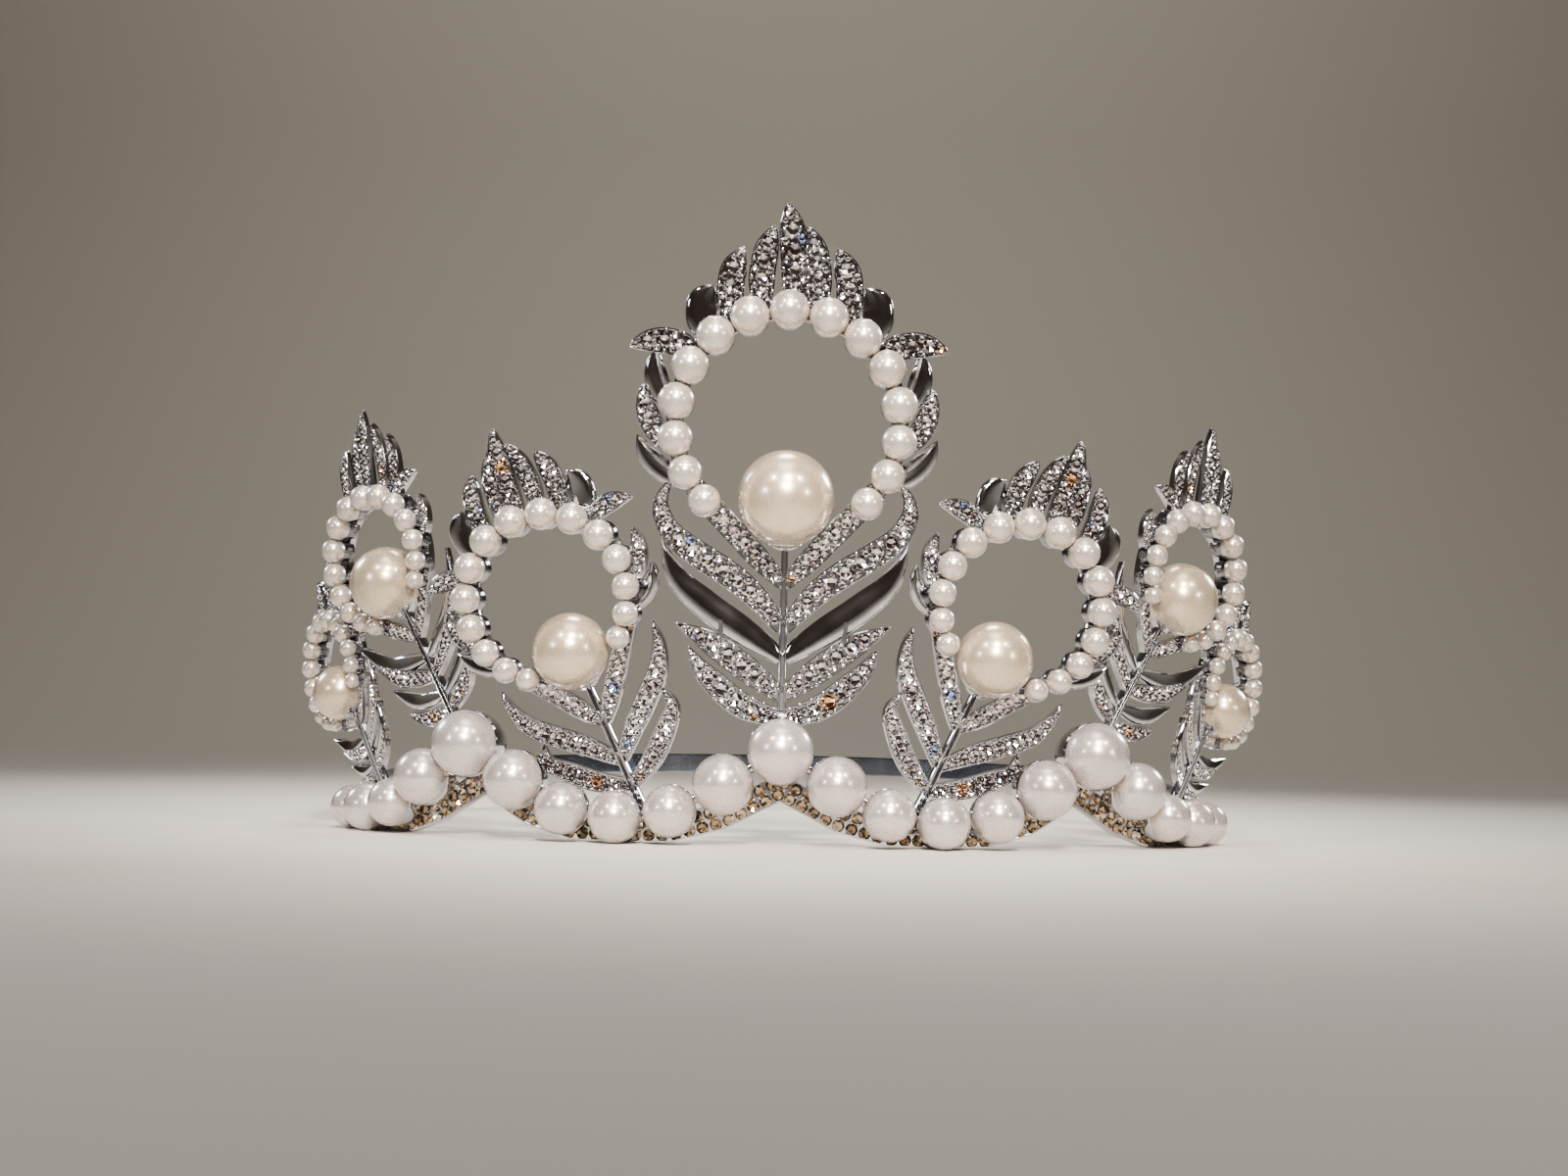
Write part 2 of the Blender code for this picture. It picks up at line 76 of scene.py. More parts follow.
STRIP_STAGGER = 0.5
STRIP_BEAD = 0.32 * MM
STRIP_BEAD_PULL = 0.9
STRIP_DROOP = -0.12
FLAT_FOOT_SHARE = 0.3
BAND_THICKNESS = 1.2 * MM
BAND_HEIGHT = 4.6 * MM
BAND_START_HEIGHT = 6.4 * MM
BAND_BACK_HEIGHT = 12.0 * MM
BAND_STATIONS = 60
BAND_ROUNDING = 0.3 * MM
BAND_LAP = 0.4 * MM

# What all plumes share
OUTWARD_TILT = math.radians(4.4)
STEM_WIDTH = 1.5 * MM
STEM_DEPTH = 2.0 * MM
STEM_SOLDER = 1.4 * MM
GROOVE_SHARE = 0.48
GROOVE_DEPTH = 1.1 * MM
RING_WIDTH = 3.2 * MM
RING_FRONT = 0.2 * MM
RING_BACK = 1.2 * MM
RING_SEGMENTS = 48
RING_LAP = 8
RING_SOFT = 0.2 * MM
RING_END_MARGIN = 3
PEARLS_PER_RING = 15
MAIN_PEARL_FORWARD = 2.0 * MM
MAIN_PEARL_LEAN = -0.25
CUP_WIDTH = 3.4 * MM
LEAF_THICKNESS = 1.3 * MM
LEAF_STATIONS = 22
LINE_SAMPLES = 240
THIN_TIP = 0.3 * MM
RIM_WIDTH = 0.44 * MM
MOST_RIM_SHARE = 0.42
RIM_ROUNDING = 0.35
RIM_FLAT = (0.65, 0.3)
LEAST_FLOOR = 0.2 * MM
FLOOR_DEPTH = 0.55 * MM
ROOT_SHARE = 0.55
SWELL_RATE = 2.6
FADE_POWER = 0.75
LEAST_WIDTH = 0.03
LEAF_FADE = 0.5
FEATHER_FADE = 0.62
RIDGE_SHIFT = 0.42
DOME_POWER = 0.6
DOME_STEPS = 3
DOME_SPAN = 3.6
PLAIN_EDGE_SHARE = 0.35
POST_RADIUS = 0.55 * MM
ROD_SIDES = 10
SHARP = math.radians(38)

PLUMES = [
    dict(name="centre", seat=0.0, face=0, lean=0, stem=59.4, ring=20.9, crest=41.1, crest_turn=0,
         opening=46, pearl=18.0, drop=13.8, pearls=(6.6, 7.9), leaves="tall", curls=4,
         crest_pairs=3, tip_lean=0, close=0),
    dict(name="inner", seat=2.6, face=13, lean=25, stem=42.4, ring=15.7, crest=33.8, crest_turn=-6,
         opening=38, pearl=14.4, drop=10.9, pearls=(4.6, 6.3), leaves="middling", curls=3,
         crest_pairs=3, tip_lean=2.0, close=3),
    dict(name="middle", seat=6.45, face=43, lean=34, stem=43.6, ring=12.9, crest=31.0, crest_turn=-22,
         opening=38, pearl=14.4, drop=5.3, pearls=(3.7, 5.2), leaves="flank", curls=2,
         crest_pairs=2, tip_lean=0, close=0),
    dict(name="outer", seat=9.3, face=58, lean=42, stem=33.6, ring=10.8, crest=22.0, crest_turn=-11,
         opening=38, pearl=11.3, drop=5.8, pearls=(3.2, 4.3), leaves="flank", curls=2,
         crest_pairs=2, tip_lean=0, close=0),
]

# Leaf lines from the root to the tip, across and up, as shares of the stem; a bar runs to the ring's end
PAVE = "pave"
PLAIN = "plain"
BAR = "bar"
RING_END = "ring end"
PAVE_LAYER = 0.8 * MM
PLAIN_LAYER = 0.9 * MM
LEAVES = {
    "tall": [
        dict(line=[(0.005, 0.08), (0.12, 0.115), (0.20, 0.175), (0.262, 0.240), (0.295, 0.300)],
             width=0.082, kind=PAVE),
        dict(line=[(0.005, 0.15), (0.147, 0.258), (0.227, 0.312), (0.335, 0.372)], width=0.082, kind=PAVE),
        dict(line=[(0.005, 0.27), (0.131, 0.354), (0.25, 0.436), (0.34, 0.520), (0.385, 0.630)],
             width=0.092, kind=PLAIN),
        dict(line=[(0.005, 0.36), (0.10, 0.47), (0.19, 0.539), (0.286, 0.598), (0.362, 0.662),
                   (0.392, 0.742), (0.352, 0.836)],
             width=0.085, kind=PAVE),
        dict(line=[(0.005, 0.50), RING_END], width=0.073, kind=BAR),
    ],
    "middling": [
        dict(line=[(0.005, 0.10), (0.13, 0.165), (0.235, 0.255), (0.315, 0.350), (0.300, 0.430)],
             width=0.093, kind=PAVE),
        dict(line=[(0.005, 0.22), (0.11, 0.325), (0.233, 0.430), (0.325, 0.520), (0.372, 0.620),
                   (0.385, 0.715)],
             width=0.097, kind=PAVE),
        dict(line=[(0.005, 0.40), RING_END], width=0.088, kind=BAR),
    ],
    "flank": [
        dict(line=[(0.005, 0.20), (0.155, 0.245), (0.265, 0.340)], width=0.076, kind=PAVE),
        dict(line=[(0.005, 0.28), (0.190, 0.360), (0.300, 0.490)], width=0.076, kind=PLAIN),
        dict(line=[(0.005, 0.38), (0.200, 0.490), (0.335, 0.640)], width=0.082, kind=PAVE),
        dict(line=[(0.005, 0.48), (0.26, 0.600), (0.395, 0.790)], width=0.082, kind=PLAIN),
        dict(line=[(0.005, 0.58), RING_END], width=0.074, kind=BAR),
    ],
}

# Leaves down each side of the ring: angles over the horizontal, radii as shares of the ring's
CURLS = [
    dict(root=38, tip=25, reach=1.57, bow=-0.24, width=0.235, kind=PAVE),
    dict(root=-14, tip=15, reach=1.33, bow=0.26, width=0.205, kind=PAVE),
    dict(root=-31, tip=-5, reach=1.34, bow=0.26, width=0.205, kind=PLAIN),
    dict(root=8, tip=29, reach=1.34, bow=0.30, width=0.215, kind=PLAIN),
]

# Crest feathers: angles from the crest's own axis, height as a share of the crest's, how far each lies back
CREST_CENTRE = dict(root=2.5, tip=-1, height=1.0, bow=0.07, width=0.265, kind=PAVE, sink=0.0)
CREST_PAIRS = [
    dict(root=13, tip=4.5, height=0.90, bow=0.16, width=0.235, kind=PAVE, sink=0.4 * MM),
    dict(root=28, tip=15, height=0.82, bow=0.24, width=0.245, kind=PAVE, sink=0.1 * MM),
    dict(root=42, tip=29, height=0.71, bow=0.36, width=0.33, kind=PLAIN, sink=0.5 * MM),
]
RING_ROOT_SHARE = 0.15
POSTS = {"tall": [((0.195, 0.318), (0.195, 0.385))]}

# Stones on a leaf: a middle row of large ones, with small ones and metal beads beside the gaps
LARGE_SHARE = 0.76
SMALL_SHARE = 0.36
STONE_STEP = 1.03
LEAST_STONE = 0.55 * MM
BEAD_SHARE = 0.62
STONE_PROUD = 0.05 * MM
STONE_SIDES = 8
STONE_BACK = (0.8, -0.45)
STONE_TABLE = (0.6, 0.36)
STONE_HEART = 0.08
FIRST_STONE = 0.03
RIM_CLEAR = 0.8
LARGE_SINK = 0.18
SMALL_SINK = 0.15
LEAST_BEAD = 0.3 * MM
BEAD_INSET = 0.1 * MM
BEAD_SINK = 0.05 * MM
LEAF_WOBBLE = 0.14
STRIP_WOBBLE = 0.10
SEED = 7


def linear(code):
    """A hex colour as the linear values that a shader takes."""
    parts = [int(code[i:i + 2], 16) / 255 for i in (1, 3, 5)]
    return tuple(p / 12.92 if p <= 0.04045 else ((p + 0.055) / 1.055) ** 2.4 for p in parts) + (1.0,)


def add(tree, kind, inputs=None, **settings):
    """Add a node; inputs names each socket's value, or the output that feeds it."""
    node = tree.nodes.new(kind)
    for key, value in settings.items():
        setattr(node, key, value)
    for socket, value in (inputs or {}).items():
        if isinstance(value, bpy.types.NodeSocket):
            tree.links.new(value, node.inputs[socket])
        else:
            node.inputs[socket].default_value = value
    return node


def new_material(name):
    """An empty material with its tree, and a shader already wired to the output."""
    material = bpy.data.materials.new(name)
    material.use_nodes = True
    tree = material.node_tree
    return material, tree, tree.nodes["Principled BSDF"]


def ramp(tree, factor, stops, interpolation="LINEAR"):
    """A colour ramp over the factor; stops are places and hex colours."""
    node = add(tree, "ShaderNodeValToRGB", {"Fac": factor})
    node.color_ramp.interpolation = interpolation
    while len(node.color_ramp.elements) < len(stops):
        node.color_ramp.elements.new(0.5)
    for element, (place, code) in zip(node.color_ramp.elements, stops):
        element.position = place
        element.color = linear(code)
    return node.outputs["Color"]


def metal(name, bright, dull, roughness, wear_mm, grain_mm, grain_height):
    """Plated or polished metal: tone and gloss drift over a few millimetres, with a faint casting skin."""
    material, tree, shader = new_material(name)
    place = add(tree, "ShaderNodeTexCoord").outputs["Object"]
    drift = add(tree, "ShaderNodeTexNoise", {"Vector": place, "Scale": 1 / (wear_mm * MM), "Detail": 3.0})
    grain = add(tree, "ShaderNodeTexNoise", {"Vector": place, "Scale": 1 / (grain_mm * MM), "Detail": 2.0})
    tone = ramp(tree, drift.outputs["Fac"], [(0.35, dull), (0.65, bright)])
    tree.links.new(tone, shader.inputs["Base Color"])
    gloss = add(tree, "ShaderNodeMapRange", {"Value": drift.outputs["Fac"], "To Min": roughness * 0.7,
                                             "To Max": roughness * 1.5})
    tree.links.new(gloss.outputs["Result"], shader.inputs["Roughness"])
    shader.inputs["Metallic"].default_value = 1.0
    skin = add(tree, "ShaderNodeBump", {"Height": grain.outputs["Fac"], "Strength": 0.5,
                                        "Distance": grain_height * MM})
    tree.links.new(skin.outputs["Normal"], shader.inputs["Normal"])
    return material


def pearl(name, light, deep, film):
    """Pearlescent lacquer over a glass core: a silky body, a thin silvery film and a hard clear gloss."""
    material, tree, shader = new_material(name)
    place = add(tree, "ShaderNodeTexCoord").outputs["Object"]
    cloud = add(tree, "ShaderNodeTexNoise", {"Vector": place, "Scale": 1 / (3.5 * MM), "Detail": 4.0})
    fleck = add(tree, "ShaderNodeTexNoise", {"Vector": place, "Scale": 1 / (0.16 * MM), "Detail": 1.0})
    tone = ramp(tree, cloud.outputs["Fac"], [(0.3, deep), (0.7, light)])
    tree.links.new(tone, shader.inputs["Base Color"])
    satin = add(tree, "ShaderNodeMapRange", {"Value": fleck.outputs["Fac"], "To Min": 0.20, "To Max": 0.34})
    tree.links.new(satin.outputs["Result"], shader.inputs["Roughness"])
    flakes = add(tree, "ShaderNodeBump", {"Height": fleck.outputs["Fac"], "Strength": 0.5,
                                          "Distance": 0.006 * MM})
    tree.links.new(flakes.outputs["Normal"], shader.inputs["Normal"])
    constants = {"Metallic": 0.50, "IOR": 1.6, "Coat Weight": 1.0, "Coat Roughness": 0.05, "Coat IOR": 1.65,
                 "Thin Film Thickness": film, "Thin Film IOR": 2.2}
    for socket, value in constants.items():
        shader.inputs[socket].default_value = value
    return material


def stone(name, stops):
    """Faceted glass with a mirror foil behind it; each stone has its own tone, and a few are tinted a colour
    all over as painted glints.
    """
    material, tree, shader = new_material(name)
    tone = add(tree, "ShaderNodeAttribute", attribute_name="tone")
    tree.links.new(ramp(tree, tone.outputs["Fac"], stops, "CONSTANT"), shader.inputs["Base Color"])
    constants = {"Metallic": 1.0, "Roughness": 0.05, "Coat Weight": 1.0, "Coat Roughness": 0.02,
                 "Coat IOR": 1.56}
    for socket, value in constants.items():
        shader.inputs[socket].default_value = value
    return material


class Plan:
    """The crown's outline from above, measured by its arc length from the front, towards +X."""

    def __init__(self):
        turn = np.linspace(0.0, math.pi, PLAN_SAMPLES)
        front = turn < math.pi / 2
        power = np.where(front, PLAN_FRONT_POWER, PLAN_REAR_POWER)
        depth = np.where(front, -PLAN_FRONT_DEPTH, PLAN_REAR_DEPTH)
        self.x = PLAN_HALF_WIDTH * np.sin(turn) ** (2 / power)
        self.y = PLAN_FRONT_DEPTH + depth * np.abs(np.cos(turn)) ** (2 / power)
        steps = np.hypot(np.diff(self.x), np.diff(self.y))
        self.arc = np.concatenate(([0.0], np.cumsum(steps)))
        self.half_length = float(self.arc[-1])

    def point(self, arc, inward=0.0):
        """A point on the outline, moved towards the middle of the crown, and the way it faces."""
        reach = min(abs(arc), self.half_length)
        step = 0.5 * MM
        near = max(reach - step, 0.0)
        far = min(reach + step, self.half_length)
        x0, x1, x2 = np.interp((near, reach, far), self.arc, self.x)
        y0, y1, y2 = np.interp((near, reach, far), self.arc, self.y)
        heading = math.atan2(y2 - y0, x2 - x0)
        x = x1 - inward * math.sin(heading)
        y = y1 + inward * math.cos(heading)
        side = 1.0 if arc >= 0 else -1.0
        return Vector((side * x, y, 0.0)), side * heading


def along_wave(heights, index):
    """A height on the scalloped garland: the first named one at a peak, the last one at a trough."""
    wave = 2 * PEARLS_PER_HALF_WAVE
    place = min(abs(index), 3 * PEARLS_PER_HALF_WAVE) % wave
    place = min(place, wave - place)
    foot = PEARLS_PER_HALF_WAVE - FLAT_FOOT_SHARE
    if place >= foot:
        return heights[-1]
    return float(np.interp(place, (0, 1, 2, foot), heights))


def pearl_diameter(index):
    """Base pearl size, counted in pearls from the front one, which is 0."""
    return float(np.interp(abs(index), range(len(PEARL_DIAMETERS)), PEARL_DIAMETERS))


def pearl_height(index):
    """Height of a base pearl's middle."""
    return along_wave(PEARL_UNDERSIDES, index) + pearl_diameter(index) / 2


def rail_inward(index):
    """How far the rail's middle lies behind the pearls' line."""
    return pearl_diameter(index) / 2 + CLEARANCE + RAIL_THICKNESS / 2


def find_arcs():
    """Arc length of each base pearl, from the front pearl outwards."""
    arcs = [0.0]
    for index in range(1, len(PEARL_DIAMETERS)):
        reach = (PEARL_DIAMETERS[index - 1] + PEARL_DIAMETERS[index]) / 2 + PEARL_SPACE
        rise = pearl_height(index) - pearl_height(index - 1)
        arcs.append(arcs[-1] + math.sqrt(max(reach ** 2 - rise ** 2, (LEAST_PEARL_STEP * reach) ** 2)))
    return arcs


plan = Plan()
arcs = find_arcs()
low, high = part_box("base_pearl_front")
SHIFT = Vector((0.0, (low.y + high.y) / 2, 0.0))
LAST_PEARL = len(PEARL_DIAMETERS) - 1


def arc_at(index):
    """Arc length at a place counted in pearls, also between two of them."""
    return math.copysign(float(np.interp(abs(index), range(len(arcs)), arcs)), index)


def plume_place(plume, side):
    """Where a plume's foot stands on the rail, and how the plume is turned, tilted and leaned."""
    index = plume["seat"]
    foot, _ = plan.point(side * arc_at(index), rail_inward(index))
    run = arc_at(index + 0.1) - arc_at(index - 0.1)
    slope = abs(pearl_height(index + 0.1) - pearl_height(index - 0.1)) / run
    clear = CLEARANCE + STEM_WIDTH / 2 * (math.sin(math.radians(plume["lean"])) + slope)
    foot.z = pearl_height(index) + RAIL_HEIGHT / 2 + clear
    turn = Matrix.Rotation(side * math.radians(plume["face"]), 4, "Z")
    tilt = Matrix.Rotation(OUTWARD_TILT, 4, "X")
    lean = Matrix.Rotation(side * math.radians(plume["lean"]), 4, "Y")
    mirror = Matrix.Scale(side, 4, Vector((1, 0, 0)))
    return Matrix.Translation(foot + SHIFT) @ turn @ tilt @ lean @ mirror


def polar(radius, angle, centre_height):
    """A point round the ring's centre, its angle counted from straight up towards +x."""
    return (radius * math.sin(angle), centre_height + radius * math.cos(angle))


def loft(bm, sections):
    """Skin a list of equal outlines, closed flat at both ends."""
    rows = [[bm.verts.new(point) for point in outline] for outline in sections]
    for near, far in zip(rows, rows[1:]):
        for i in range(len(near)):
            j = (i + 1) % len(near)
            bm.faces.new((near[i], near[j], far[j], far[i]))
    bm.faces.new(rows[0])
    bm.faces.new(rows[-1])


def rod(bm, start, end, radius):
    """A round rod between two points of a plume's plane."""
    start = Vector((start[0], 0.0, start[1]))
    end = Vector((end[0], 0.0, end[1]))
    turn = (end - start).to_track_quat("Z", "Y")
    sections = []
    for centre in (start, end):
        angles = np.linspace(0, 2 * math.pi, ROD_SIDES + 1)[:-1]
        ring = [(math.cos(a) * radius, math.sin(a) * radius, 0.0) for a in angles]
        sections.append([centre + turn @ Vector(point) for point in ring])
    loft(bm, sections)


def finish_piece(bm, name, material, place=None):
    """Turn the gathered shells into one object in the crown's frame, with its place in the mesh."""
    if place is not None:
        bm.transform(place)
    bmesh.ops.recalc_face_normals(bm, faces=bm.faces[:])
    mesh = bpy.data.meshes.new(name)
    bm.to_mesh(mesh)
    bm.free()
    mesh.shade_smooth()
    mesh.set_sharp_from_angle(angle=SHARP)
    mesh.materials.append(material)
    piece = bpy.data.objects.new(name, mesh)
    bpy.context.scene.collection.objects.link(piece)
    return piece


def smooth_line(points, count):
    """Evenly spaced points on a smooth line through the given ones, and the headings there."""
    given = np.array(points, float)
    knots = np.concatenate(([0.0], np.cumsum(np.linalg.norm(np.diff(given, axis=0), axis=1))))
    slopes = np.gradient(given, knots, axis=0)
    dense = np.linspace(0.0, knots[-1], LINE_SAMPLES)
    part = np.clip(np.searchsorted(knots, dense, side="right") - 1, 0, len(given) - 2)
    span = knots[part + 1] - knots[part]
    t = (dense - knots[part]) / span
    curve = ((2 * t ** 3 - 3 * t ** 2 + 1)[:, None] * given[part]
             + ((t ** 3 - 2 * t ** 2 + t) * span)[:, None] * slopes[part]
             + (3 * t ** 2 - 2 * t ** 3)[:, None] * given[part + 1]
             + ((t ** 3 - t ** 2) * span)[:, None] * slopes[part + 1])
    lengths = np.concatenate(([0.0], np.cumsum(np.linalg.norm(np.diff(curve, axis=0), axis=1))))
    even = np.linspace(0.0, lengths[-1], count)
    places = np.stack([np.interp(even, lengths, curve[:, axis]) for axis in (0, 1)], axis=1)
    headings = np.gradient(places, axis=0)
    headings /= np.linalg.norm(headings, axis=1)[:, None]
    return places, headings, float(lengths[-1])


def bowed(root, tip, bow):
    """Points on a bowed line; a positive bow swells away from the middle, as a share of the length."""
    root = Vector(root)
    tip = Vector(tip)
    chord = tip - root
    outward = Vector((chord.y, -chord.x)) * (1 if chord.x >= 0 else -1)
    control = (root + tip) / 2 + outward * bow
    steps = (0.0, 0.25, 0.5, 0.75, 1.0)
    return [root * (1 - t) ** 2 + control * 2 * t * (1 - t) + tip * t ** 2 for t in steps]


def leaf_width(kind, share, fade_from):
    """How much of its full width a leaf has at a share of its length; a bar stays wide to its end."""
    swell = ROOT_SHARE + (1 - ROOT_SHARE) * math.sin(min(share * SWELL_RATE, 1.0) * math.pi / 2)
    if kind == BAR:
        return swell
    fade = math.cos(max(share - fade_from, 0.0) / (1 - fade_from) * math.pi / 2) ** FADE_POWER
    return swell * max(fade, LEAST_WIDTH)


def pave_section(half, back, front):
    """A tray with two rounded rims; across and depth."""
    rim = min(RIM_WIDTH, MOST_RIM_SHARE * half)
    round_off = RIM_ROUNDING * rim
    floor = min(front + FLOOR_DEPTH, back - LEAST_FLOOR)
    inner, outer = (half - share * rim for share in RIM_FLAT)
    right = [(half - rim, floor), (half - rim, front + round_off), (inner, front),
             (outer, front), (half, front + round_off), (half, back)]
    return [(-across, depth) for across, depth in right[::-1]] + right


def plain_section(half, back, front):
    """A polished dome with a crisp edge, its ridge nearer to the leaf's lower side."""
    middle = back - PLAIN_EDGE_SHARE * (back - front)
    outline = [(-half, back), (-half, middle)]
    for step in range(-DOME_STEPS, DOME_STEPS + 1):
        across = step / DOME_SPAN
        rise = math.cos(across * math.pi / 2) ** DOME_POWER
        shifted = across + RIDGE_SHIFT * (1 - across ** 2)
        outline.append((shifted * half, middle + (front - middle) * rise))
    return outline + [(half, middle), (half, back)]


class Seats:
    """Places for set stones, beads, cups or pearls: where, which way out, and how large."""

    def __init__(self):
        self.places = []
        self.turns = []
        self.sizes = []

    def add(self, place, outward, along, size):
        outward = Vector(outward).normalized()
        sideways = Vector(along).cross(outward).normalized()
        ahead = outward.cross(sideways)
        turn = Matrix((sideways, ahead, outward)).transposed()
        self.places.append(Vector(place))
        self.turns.append(Vector(turn.to_euler()))
        self.sizes.append(size)


def seats_tree():
    """Geometry Nodes that set one shape on every seat, turned and sized by it, with a small wobble."""
    tree = bpy.data.node_groups.new("set_on_seats", "GeometryNodeTree")
    sockets = [("Seats", "NodeSocketGeometry"), ("Shape", "NodeSocketObject"),
               ("Finish", "NodeSocketMaterial"), ("Seed", "NodeSocketInt"), ("Wobble", "NodeSocketFloat")]
    for name, kind in sockets:
        tree.interface.new_socket(name, in_out="INPUT", socket_type=kind)
    tree.interface.new_socket("Set", in_out="OUTPUT", socket_type="NodeSocketGeometry")
    given = add(tree, "NodeGroupInput").outputs
    shape = add(tree, "GeometryNodeObjectInfo", {"Object": given["Shape"]})
    turn = add(tree, "GeometryNodeInputNamedAttribute", {"Name": "turn"}, data_type="FLOAT_VECTOR")
    size = add(tree, "GeometryNodeInputNamedAttribute", {"Name": "size"}, data_type="FLOAT")
    turned = add(tree, "FunctionNodeEulerToRotation", {"Euler": turn.outputs["Attribute"]})
    least = add(tree, "ShaderNodeVectorMath", {0: (-1.0, -1.0, -3.0), "Scale": given["Wobble"]},
                operation="SCALE")
    most = add(tree, "ShaderNodeVectorMath", {0: (1.0, 1.0, 3.0), "Scale": given["Wobble"]},
               operation="SCALE")
    wobble = add(tree, "FunctionNodeRandomValue", {
        0: least.outputs[0], 1: most.outputs[0], "Seed": given["Seed"]}, data_type="FLOAT_VECTOR")
    nudge = add(tree, "FunctionNodeEulerToRotation", {"Euler": wobble.outputs[0]})
    settled = add(tree, "FunctionNodeRotateRotation", {
        "Rotation": turned.outputs[0], "Rotate By": nudge.outputs[0]}, rotation_space="LOCAL")
    placed = add(tree, "GeometryNodeInstanceOnPoints", {
        "Points": given["Seats"], "Instance": shape.outputs["Geometry"], "Rotation": settled.outputs[0],
        "Scale": size.outputs["Attribute"]})
    tone = add(tree, "FunctionNodeRandomValue", {"Seed": given["Seed"]}, data_type="FLOAT")
    toned = add(tree, "GeometryNodeStoreNamedAttribute", {
        "Geometry": placed.outputs[0], "Name": "tone", "Value": tone.outputs[1]},
                data_type="FLOAT", domain="INSTANCE")
    real = add(tree, "GeometryNodeRealizeInstances", {"Geometry": toned.outputs[0]})
    finished = add(tree, "GeometryNodeSetMaterial", {
        "Geometry": real.outputs[0], "Material": given["Finish"]})
    add(tree, "NodeGroupOutput", {"Set": finished.outputs[0]})
    return tree


TREE = seats_tree()


def set_on(seats, name, shape, material, wobble=0.0):
    """One object with the shape on every seat, made real."""
    mesh = bpy.data.meshes.new(name)
    mesh.from_pydata(seats.places, [], [])
    turns = mesh.attributes.new("turn", "FLOAT_VECTOR", "POINT")
    turns.data.foreach_set("vector", np.ravel(seats.turns))
    sizes = mesh.attributes.new("size", "FLOAT", "POINT")
    sizes.data.foreach_set("value", seats.sizes)
    piece = bpy.data.objects.new(name, mesh)
    bpy.context.scene.collection.objects.link(piece)
    setter = piece.modifiers.new("set", "NODES")
    setter.node_group = TREE
    values = {"Shape": shape, "Finish": material, "Seed": SEED, "Wobble": wobble}
    for item in TREE.interface.items_tree:
        if item.name in values:
            setter[item.identifier] = values[item.name]
    piece.update_tag()
    shapes = bpy.context.evaluated_depsgraph_get()
    made = bpy.data.meshes.new_from_object(piece.evaluated_get(shapes), depsgraph=shapes)
    piece.modifiers.clear()
    piece.data = made
    return piece


def pattern_shape(name, bm, smooth):
    """A shape to set on seats; it is removed once all pieces are made."""
    mesh = bpy.data.meshes.new(name)
    bmesh.ops.recalc_face_normals(bm, faces=bm.faces[:])
    bm.to_mesh(mesh)
    bm.free()
    if smooth:
        mesh.shade_smooth()
        mesh.set_sharp_from_angle(angle=SHARP)
    shape = bpy.data.objects.new(name, mesh)
    bpy.context.scene.collection.objects.link(shape)
    return shape


def ball_shape(name, around, up):
    """A ball of radius one."""
    bm = bmesh.new()
    bmesh.ops.create_uvsphere(bm, u_segments=around, v_segments=up, radius=1.0)
    return pattern_shape(name, bm, True)


def turned_shape(name, profile, sides):
    """A lathe shape from its profile of radius and height, which starts and ends on the axis."""
    bm = bmesh.new()
    angles = np.linspace(0, 2 * math.pi, sides + 1)[:-1]
    rows = []
    for radius, height in profile:
        if radius == 0:
            rows.append([bm.verts.new((0.0, 0.0, height))])
        else:
            points = [(radius * math.cos(a), radius * math.sin(a), height) for a in angles]
            rows.append([bm.verts.new(point) for point in points])
    for near, far in zip(rows, rows[1:]):
        for i in range(sides):
            j = (i + 1) % sides
            corners = [near[i % len(near)], near[j % len(near)], far[j % len(far)], far[i % len(far)]]
            bm.faces.new(list(dict.fromkeys(corners)))
    return pattern_shape(name, bm, True)


def stone_shape():
    """A round cut of radius one: slanting facets, and a mirror star where one sees into the glass."""
    bm = bmesh.new()
    step = 2 * math.pi / STONE_SIDES

    def row(radius, height, turn):
        angles = [(i + turn) * step for i in range(STONE_SIDES)]
        return [bm.verts.new((radius * math.cos(a), radius * math.sin(a), height)) for a in angles]

    back = row(*STONE_BACK, 0)
    girdle = row(1.0, 0.0, 0)
    table = row(*STONE_TABLE, 0.5)
    heart = bm.verts.new((0.0, 0.0, STONE_HEART))
    for i in range(STONE_SIDES):
        j = (i + 1) % STONE_SIDES
        bm.faces.new((back[i], back[j], girdle[j], girdle[i]))
        bm.faces.new((girdle[i], girdle[j], table[i]))
        bm.faces.new((girdle[j], table[j], table[i]))
        bm.faces.new((table[i], table[j], heart))
    bm.faces.new(back)
    return pattern_shape("stone_shape", bm, False)


# A cup for a pearl of radius one whose middle is at the origin: a plate behind it and a low wall round it
RING_CUP = [(0, -1.48), (0.88, -1.48), (0.96, -1.40), (0.96, -1.06), (0.92, -0.98), (0.92, -0.52),
            (0.86, -0.48), (0.83, -0.56), (0.45, -0.93), (0, -1.02)]
BASE_CUP = [(0, -1.20), (0.55, -1.18), (0.80, -1.02), (0.96, -0.62), (1.01, -0.28), (0.97, -0.22),
            (0.94, -0.28), (0.80, -0.62), (0.45, -0.92), (0, -1.02)]
STEM_CUP = [(0, -1.10), (0.10, -1.10), (0.26, -1.03), (0.36, -0.95), (0.34, -0.92), (0.18, -0.99),
            (0, -1.01)]

# Bright plate over cast alloy: cool mirror highlights that wander a little over the cast skin
SILVER = metal("rhodium_plated_cast_alloy", "#D4D4D8", "#B9B9BF", 0.07, 6.0, 0.5, 0.010)
# A rolled steel strip, polished: a calmer mirror with long soft reflections; its tone is set darker than
# bare steel, a painted dark reflection of the room before it
DARKENED_STEEL = metal("polished_steel_strip_painted_dark", "#858B96", "#6A707C", 0.09, 14.0, 0.8, 0.004)
# The same plate in the cups, duller and patchy, its tone darkened as painted shade behind the pearls, so the
# pearls stand out before it
PAINTED_SHADE_PLATE = metal("painted_shade_plate_in_the_cups", "#A2A2A8", "#6C6C73", 0.14, 1.6, 0.4, 0.012)
